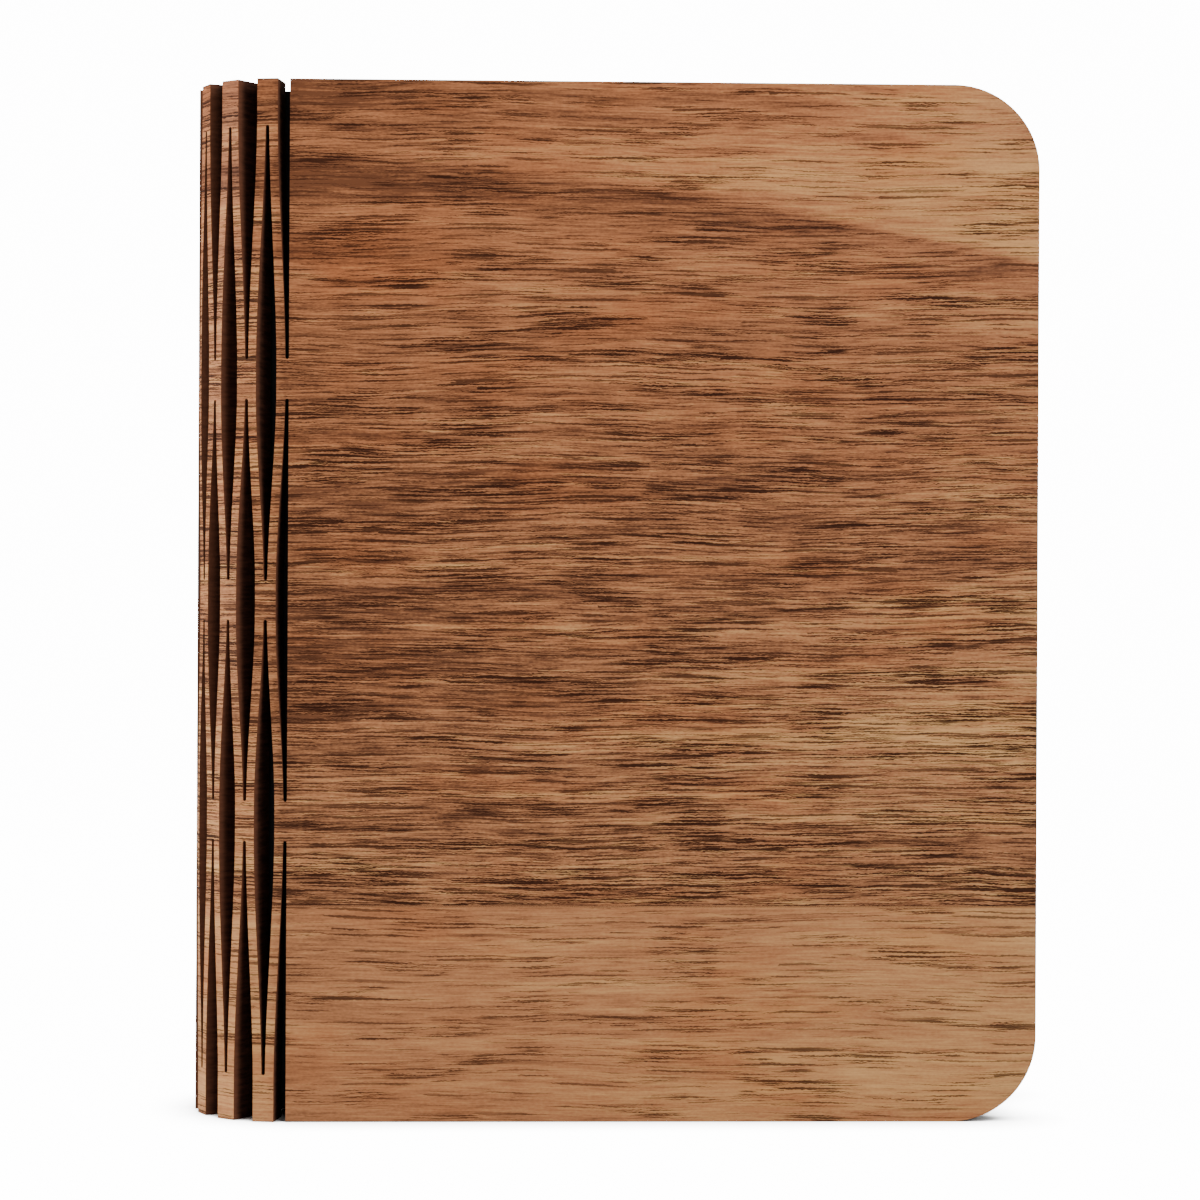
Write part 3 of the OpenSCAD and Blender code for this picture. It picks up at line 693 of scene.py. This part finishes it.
class Figure:
    """The figure of the walnut veneer, as nodes that work in mm in the flat board."""

    def __init__(self, tree):
        self.tree = tree
        flat = board_mm(tree)
        parts = add(tree, "ShaderNodeSeparateXYZ", [flat])
        self.along, self.height = parts.outputs[0], parts.outputs[2]
        # A lighter sheet is joined on below a level line; its figure is that of another log
        self.plank = add(tree, RANGE, [self.height, JOINT_Z + JOINT_BLUR, JOINT_Z - JOINT_BLUR,
                                       0, 1])
        # The grain wanders up and down by a millimetre or so over a hand's width
        place = add(tree, MAPPING, {"Vector": flat, "Scale": (1 / 60, 1 / 60, 1 / 24)})
        drift = add(tree, NOISE, {"Vector": place, "Scale": 1.0, "Detail": 2.0})
        level = add(tree, MATH, [drift, GRAIN_SWAY, self.height], operation="MULTIPLY_ADD")
        self.level = add(tree, MATH, [self.plank, OTHER_LOG, level], operation="MULTIPLY_ADD")
        self.grain = add(tree, "ShaderNodeCombineXYZ",
                         [self.along, parts.outputs[1], self.level])
        # Paler sapwood lies above a curve that falls toward the fore edge, and fades in
        falling = add(tree, MATH, [self.along, self.along], operation="MULTIPLY")
        falling = add(tree, MATH, [falling, SAP_FALL, self.height], operation="MULTIPLY_ADD")
        self.above = add(tree, MATH, [drift, SAP_SWAY, falling], operation="MULTIPLY_ADD")
        sapwood = add(tree, RANGE, [self.above, SAP_Z - 0.6, SAP_Z + 0.8, 0, 1], **SOFT)
        fade_in = add(tree, RANGE, [self.along, 0, 90, 0, 1])
        self.sapwood = add(tree, MATH, [sapwood, fade_in], operation="MULTIPLY")

    def noise(self, size, detail, seed):
        """Noise along the grain with features size mm long and high; its value."""
        place = add(self.tree, MAPPING, {"Vector": self.grain, "Location": (seed, 0, 3 * seed),
                                         "Scale": (1 / size[0], 1 / 5, 1 / size[1])})
        return add(self.tree, NOISE, {"Vector": place, "Scale": 1.0, "Detail": detail,
                                      "Roughness": 0.55})

    def parts(self):
        """How much each point belongs to each part of the sheet, by the names in LIGHTER."""
        tree, height = self.tree, self.height
        # A dark line runs under the sapwood's edge, and the heart is a darker band
        near_edge = add(tree, RANGE, [self.above, SAP_Z - 8, SAP_Z, 0, 1], **SOFT)
        past_edge = add(tree, RANGE, [self.above, SAP_Z, SAP_Z + 1.5, 1, 0])
        heart_rise = add(tree, RANGE, [height, *HEART_RISE, 0, 1], **SOFT)
        heart_fade = add(tree, RANGE, [height, *HEART_FADE, 1, 0], **SOFT)
        return {
            "plank": self.plank,
            "sapwood": self.sapwood,
            "sapwood_edge": add(tree, MATH, [near_edge, past_edge], operation="MULTIPLY"),
            "heart": add(tree, MATH, [heart_rise, heart_fade], operation="MULTIPLY"),
            "slats": add(tree, RANGE, [self.along, -1.5, 0.5, 1, 0]),
            "top": add(tree, RANGE, [height, 134, 141, 0, 1], **SOFT),
        }

    def wood(self):
        """The wood's colour without its pores, with painted light that rises toward the fore edge.
        """
        tree, height = self.tree, self.height
        # Painted light: the tone rises from the spine toward the fore edge, as the light falls
        # across the cover
        light = add(tree, RANGE, [self.along, 0, 110, *PAINTED_LIGHT_ALONG])
        for name, part in self.parts().items():
            light = add(tree, MATH, [part, LIGHTER[name], light], operation="MULTIPLY_ADD")
        # Streaks from a hand's width down to single fibres, fainter at the top and on the plank
        strength = add(tree, RANGE, [height, *FINER_Z, 1, 0.72])
        strength = add(tree, MATH, [self.plank, -0.4, strength], operation="MULTIPLY_ADD")
        for size, detail, share in STREAKS:
            streak = add(tree, RANGE, [self.noise(size, detail, share), 0, 1, -share, share])
            light = add(tree, MATH, [streak, strength, light], operation="MULTIPLY_ADD")
        ramp = add(tree, "ShaderNodeValToRGB", [light])
        stops = ramp.color_ramp.elements
        stops[0].position, stops[0].color = 0.1, colour("walnut_dark")
        stops[1].position, stops[1].color = 0.95, colour("walnut_light")
        stops.new(0.48).color = colour("walnut_mid")
        # A redder cast in patches of a few centimetres
        cast = add(tree, RANGE, [self.noise((26, 9), 2, 4.0), 0.5, 0.7, 0, 0.4])
        reddened = add(tree, MIX, {0: cast, 6: ramp, 7: colour("walnut_red")}, data_type="RGBA",
                       blend_type="MULTIPLY")
        # Low down the colour is a little yellower and greyer than near the top
        yellow = add(tree, RANGE, [height, 115, 20, 0.502, 0.507])
        fullness = add(tree, RANGE, [height, 35, 115, 0.97, 1.0])
        return add(tree, "ShaderNodeHueSaturation", {"Hue": yellow, "Saturation": fullness,
                                                     "Color": reddened.outputs[2]})

    def crowding(self):
        """How closely the pores stand: in clusters, and thinner where the wood is lighter."""
        tree, height = self.tree, self.height
        cluster = add(tree, RANGE, [self.noise((16, 2.6), 2, 7.0), 0.42, 0.68, 0, 1], **SOFT)
        upper = add(tree, RANGE, [height, 96, 120, 0, -0.25], **SOFT)
        lower = add(tree, RANGE, [height, JOINT_Z + 12, JOINT_Z, 0, 0.35])
        crowd = add(tree, MATH, [lower, upper], operation="ADD")
        crowd = add(tree, MATH, [self.sapwood, -0.35, crowd], operation="MULTIPLY_ADD")
        crowd = add(tree, MATH, [self.plank, -1.0, crowd], operation="MULTIPLY_ADD")
        return add(tree, MATH, [cluster, crowd], operation="ADD")

    def dashes(self, rows, crowd, long, high, seed, few, many):
        """Dashes up to long mm long, at most one in each cell high mm tall; their darkness."""
        tree = self.tree
        place = add(tree, MAPPING, {"Vector": rows, "Scale": (1 / long, 1 / high, 1),
                                    "Location": (seed, 3 * seed, 0)})
        cell = add(tree, "ShaderNodeTexVoronoi", {"Vector": place, "Scale": 1.0},
                   voronoi_dimensions="2D")
        away = add(tree, "ShaderNodeVectorMath", [place, cell.outputs["Position"]],
                   operation="SUBTRACT")
        off = add(tree, "ShaderNodeSeparateXYZ", [away])
        chance = add(tree, "ShaderNodeSeparateXYZ", [cell.outputs["Color"]])
        # A dash is a lens shape, pointed at its ends
        thick = add(tree, RANGE, [chance.outputs[1], 0, 1, 0.07, 0.19])
        rise = add(tree, MATH, [off.outputs[1]], operation="ABSOLUTE")
        rise = add(tree, MATH, [rise, thick], operation="DIVIDE")
        run = add(tree, MATH, [off.outputs[0], off.outputs[0]], operation="MULTIPLY")
        reach = add(tree, MATH, [run, 3.0, rise], operation="MULTIPLY_ADD")
        inside = add(tree, RANGE, [reach, 1.1, 0.75, 0, 1])
        share = add(tree, RANGE, [crowd, -0.75, 1, few, many])
        spare = add(tree, MATH, [share, chance.outputs[0]], operation="SUBTRACT")
        present = add(tree, RANGE, [spare, 0, 0.25, 0, 1])
        return add(tree, MATH, [inside, present], operation="MULTIPLY")

    def pores(self):
        """The open pores, and how far they and their crowding darken the wood."""
        tree, crowd = self.tree, self.crowding()
        # Rows of pores wobble with the grain, and their ends are a little ragged
        wobble = add(tree, RANGE, [self.noise((9, 2), 2, 5.0), 0, 1, -0.35, 0.35])
        ragged = add(tree, RANGE, [self.noise((0.6, 0.3), 1, 8.0), 0, 1, -0.14, 0.14])
        wobble = add(tree, MATH, [wobble, ragged], operation="ADD")
        row = add(tree, MATH, [self.level, wobble], operation="ADD")
        rows = add(tree, "ShaderNodeCombineXYZ", [self.along, row, 0])
        pores = self.dashes(rows, crowd, *PORES[0])
        for layer in PORES[1:]:
            pores = add(tree, MATH, [pores, self.dashes(rows, crowd, *layer)],
                        operation="MAXIMUM")
        depth = add(tree, RANGE, [crowd, -0.3, 0.7, 0.7, 0.97])
        dark = add(tree, MATH, [pores, depth], operation="MULTIPLY")
        shaded = add(tree, RANGE, [crowd, 0.2, 1, 0, 0.12])
        return pores, add(tree, MATH, [dark, shaded], operation="MAXIMUM")


def veneer():
    """Walnut veneer sliced with level grain, sanded and finished with a thin satin varnish."""
    # Brown with darker streaks, thousands of short open pores, and a soft sheen over them
    smooth_part, sunk_part = 0.42, 0.62
    material, tree, shader = fresh("satin_walnut_veneer", smooth_part, 1.5,
                                   Specular_IOR_Level=0.06)
    if tree is None:
        return material
    figure = Figure(tree)
    pores, dark = figure.pores()
    wood = add(tree, MIX, {0: dark, 6: figure.wood(), 7: colour("pore")}, data_type="RGBA")
    tree.links.new(wood.outputs[2], shader.inputs["Base Color"])
    # The varnish sinks into the pores and leaves them matt
    matt = add(tree, RANGE, [pores, 0, 1, smooth_part, sunk_part])
    tree.links.new(matt.outputs[0], shader.inputs["Roughness"])
    sunk = add(tree, BUMP, {"Height": pores, "Distance": 0.03 * MM, "Strength": 0.4},
               invert=True)
    tree.links.new(sunk.outputs[0], shader.inputs["Normal"])
    return material


def cut_edge():
    """Edge of a laser-cut board: browned near the face, with painted shade darkening it further in,
    quite matt.
    """
    material, tree, shader = fresh("laser_cut_edge", 0.85, 1.45, Specular_IOR_Level=0.1)
    if tree is None:
        return material
    flat = board_mm(tree)
    depth = add(tree, "ShaderNodeSeparateXYZ", [flat]).outputs[1]
    # The beam leaves fine scorch lines through the board every half millimetre or so
    place = add(tree, MAPPING, {"Vector": flat, "Scale": (1 / 0.5, 1 / 6, 1 / 0.45)})
    lines = add(tree, NOISE, {"Vector": place, "Scale": 1.0, "Detail": 2.0})
    scorch = add(tree, RANGE, [lines, 0, 1, -0.4, 0.4])
    # Painted shade: the edge darkens further in from the face, where the cuts are deep and narrow
    painted_shade_inward = add(tree, RANGE, [depth, 0.2, 1.6, 0.15, 0.85], **SOFT)
    soot_and_shade = add(tree, MATH, [scorch, painted_shade_inward], operation="ADD", use_clamp=True)
    burnt = add(tree, MIX, {0: soot_and_shade, 6: colour("char"), 7: colour("soot_and_shade")}, data_type="RGBA")
    tree.links.new(burnt.outputs[2], shader.inputs["Base Color"])
    ridges = add(tree, BUMP, {"Height": lines, "Distance": 0.05 * MM, "Strength": 0.5})
    tree.links.new(ridges.outputs[0], shader.inputs["Normal"])
    return material


def shade_paper():
    """Spun-bonded polyethylene sheet: soft white, matt, and it lets light through."""
    # Random fibres a millimetre or two long give a faint cloudy look
    return grained("spunbonded_sheet", 0.7, 1.5, (1.8, 1.8, 0.5), colour("paper", 0.9),
                   colour("paper"), 0.02, 3, Subsurface_Weight=0.15, Subsurface_Scale=0.5 * MM)


def moulded_plastic(name, code):
    """Moulded black plastic with a fine spark-eroded texture, which scatters the highlight."""
    return grained(name, 0.7, 1.53, (0.35,) * 3, linear(code), linear(code, 1.15), 0.02,
                   Specular_IOR_Level=0.1)


def diffuser_plastic():
    """Frosted polycarbonate: milky white, soft highlight, light spreads inside it."""
    return grained("pc_frosted", 0.45, 1.58, (0.3,) * 3, linear("#e6e8e6", 0.96),
                   linear("#e6e8e6"), 0.01, Subsurface_Weight=0.2, Subsurface_Scale=1 * MM)


def solder_mask(name, code):
    """Solder mask on a circuit board: glossy lacquer over faint raised tracks."""
    material, tree, shader = fresh(name, 0.3, 1.55)
    if tree is None:
        return material
    # Tracks about 0.6 mm wide with sharp corners
    cells = add(tree, "ShaderNodeTexVoronoi", {"Vector": object_mm(tree), "Scale": 0.8},
                distance="CHEBYCHEV")
    tracks = add(tree, RANGE, [cells.outputs["Distance"], 0.3, 0.36, 0, 1])
    tones = add(tree, MIX, {0: tracks, 6: linear(code), 7: linear(code, 0.85)}, data_type="RGBA")
    tree.links.new(tones.outputs[2], shader.inputs["Base Color"])
    raised = add(tree, BUMP, {"Height": tracks, "Distance": 0.03 * MM, "Strength": 0.4})
    tree.links.new(raised.outputs[0], shader.inputs["Normal"])
    return material


def phosphor():
    """LED package: yellow phosphor in silicone, slightly grainy."""
    return grained("led_phosphor", 0.35, 1.41, (0.12,) * 3, linear("#e8c94a"),
                   linear("#f4dd78"), 0)


def sleeve():
    """Heat-shrunk PVC sleeve of a battery cell: glossy, with faint shrink lines."""
    return grained("pvc_sleeve", 0.25, 1.54, (0.6, 0.6, 9), linear("#1d4f8f"),
                   linear("#2861a8"), 0.02)


def silicone(name, code):
    """Silicone-insulated wire: soft satin rubber that holds a little dust."""
    return grained(name, 0.55, 1.41, (0.8,) * 3, linear(code, 0.85), linear(code), 0)


def epoxy():
    """Moulded epoxy chip package: dark grey, matt, fine grain."""
    return grained("epoxy_package", 0.6, 1.55, (0.1,) * 3, linear("#1b1c1e"),
                   linear("#2a2b2e"), 0)


def plated(name, code, rough):
    """Plated sheet or turned metal: bright, with faint drawing lines."""
    return grained(name, rough, None, (0.15, 0.15, 3), linear(code, 0.85), linear(code), 0,
                   Metallic=1.0)


def clear_pipe():
    """Clear acrylic light pipe: glassy, slightly hazy along its length."""
    return grained("pmma_clear", 0.1, 1.49, (1, 1, 4), linear("#dfe7ea"), linear("#e8eef0"), 0,
                   Transmission_Weight=0.8)


def sweep():
    """White seamless paper under the lamp, glowing white to the camera with a painted contact
    shadow close to what stands on it.
    """
    material, tree, shader = fresh("seamless_paper", 0.9, Specular_IOR_Level=0.0)
    if tree is None:
        return material
    place = add(tree, MAPPING, {"Vector": object_mm(tree), "Scale": (1 / 0.8,) * 3})
    tooth = add(tree, NOISE, {"Vector": place, "Scale": 1.0})
    tones = add(tree, MIX, {0: tooth, 6: linear("#ececec"), 7: linear("#f4f4f4")},
                data_type="RGBA")
    tree.links.new(tones.outputs[2], shader.inputs["Base Color"])
    # The camera sees it glow burnt out to white, darkened by a painted shadow close to what stands
    # on it
    painted_contact_shadow = add(tree, "ShaderNodeAmbientOcclusion", {"Distance": 9 * MM}, samples=16)
    white = bpy.context.scene.lamp_stage.white
    glow = add(tree, RANGE, [painted_contact_shadow.outputs["AO"], 0.35, 0.98, 0, white])
    seen = add(tree, "ShaderNodeLightPath").outputs["Is Camera Ray"]
    glow = add(tree, MATH, [seen, glow], operation="MULTIPLY")
    tree.links.new(glow.outputs[0], shader.inputs["Emission Strength"])
    shader.inputs["Emission Color"].default_value = (1, 1, 1, 1)
    return material


# ---- Stage ------------------------------------------------------------------------------


def area_light(name, power, place, aim, width, tint):
    """A square light that faces a point."""
    bpy.ops.object.light_add(type="AREA", location=place)
    light = bpy.context.object
    light.name = name
    light.rotation_euler = (Vector(aim) - Vector(place)).to_track_quat("-Z", "Y").to_euler()
    light.data.shape, light.data.size = "SQUARE", width
    light.data.energy, light.data.color = power, tint


def white_room(sky, white):
    """A world that gives an even white light and that the camera sees burnt out."""
    world = bpy.data.worlds.new("white_room")
    bpy.context.scene.world = world
    world.use_nodes = True
    tree = world.node_tree
    ground = tree.nodes["Background"]
    ground.inputs["Color"].default_value = (1, 1, 1, 1)
    seen = add(tree, "ShaderNodeLightPath").outputs["Is Camera Ray"]
    strength = add(tree, RANGE, [seen, 0, 1, sky, white])
    tree.links.new(strength.outputs[0], ground.inputs["Strength"])


class LAMP_OT_stage(bpy.types.Operator):
    """Places the camera, the lights and the white sweep that the lamp stands on"""
    bl_idname = "lamp.stage"
    bl_label = "Stage"

    def execute(self, context):
        sizes = context.scene.lamp_stage
        deselect()
        turn = (Matrix.Rotation(math.radians(CAMERA_YAW), 4, "Z")
                @ Matrix.Rotation(math.pi / 2, 4, "X")
                @ Matrix.Rotation(math.radians(CAMERA_ROLL), 4, "Z"))
        bpy.ops.object.camera_add(location=CAMERA_PLACE, rotation=turn.to_euler())
        camera = context.object
        camera.name = "camera"
        camera.data.lens, camera.data.sensor_width = sizes.lens, SENSOR_WIDTH
        camera.data.shift_y = CAMERA_SHIFT
        camera.data.clip_start, camera.data.clip_end = 0.01, 20
        context.scene.camera = camera

        # A square of 1 m gets a wall along its far edge and a fold between the two
        bpy.ops.mesh.primitive_plane_add(size=1)
        floor = context.object
        bpy.ops.object.mode_set(mode="EDIT")
        pick(floor, "edges", lambda e: all(v.co.y > 0.4 for v in e.verts))
        bpy.ops.mesh.extrude_region_move(TRANSFORM_OT_translate={"value": (0, 0, 1)})
        pick(floor, "edges", lambda e: all(v.co.y > 0.4 and v.co.z < 0.1 for v in e.verts))
        bpy.ops.mesh.bevel(offset=SWEEP_FOLD, segments=16, affect="EDGES")
        bpy.ops.object.mode_set(mode="OBJECT")
        floor.scale = SWEEP_SIZE
        floor = settle(floor, "sweep")
        smooth(floor, 60)
        floor.data.materials.append(sweep())

        area_light("key", sizes.key, *KEY_LIGHT)
        area_light("side", sizes.side, *SIDE_LIGHT)
        white_room(sizes.sky, sizes.white)
        return {"FINISHED"}


class LAMP_PT_panel(bpy.types.Panel):
    """Lists the sizes and the steps of the lamp"""
    bl_idname = "LAMP_PT_panel"
    bl_label = "Book lamp"
    bl_space_type = "VIEW_3D"
    bl_region_type = "UI"
    bl_category = "Book lamp"

    def draw(self, context):
        for name, group in GROUPS.items():
            box = self.layout.box()
            for key in group.__annotations__:
                box.prop(getattr(context.scene, name), key)
        for step in STEPS:
            self.layout.operator(step.bl_idname)


GROUPS = {"lamp_hinge": HingeSizes, "lamp_cover": CoverSizes, "lamp_shade": ShadeSizes,
          "lamp_colours": LampColours, "lamp_stage": StageSizes}
STEPS = (LAMP_OT_hinge, LAMP_OT_covers, LAMP_OT_shade, LAMP_OT_core, LAMP_OT_stage)
CLASSES = (*GROUPS.values(), *STEPS, LAMP_PT_panel)


def register():
    """Registers the classes and puts the sizes and colours on the scene."""
    for item in CLASSES:
        bpy.utils.register_class(item)
    for name, group in GROUPS.items():
        setattr(bpy.types.Scene, name, PointerProperty(type=group))


def unregister():
    """Takes away what register added."""
    for name in GROUPS:
        delattr(bpy.types.Scene, name)
    for item in reversed(CLASSES):
        bpy.utils.unregister_class(item)


def main():
    """Builds the lamp in order."""
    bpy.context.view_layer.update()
    register()
    for step in STEPS:
        group, name = step.bl_idname.split(".")
        getattr(getattr(bpy.ops, group), name)()


if __name__ == "__main__":
    main()
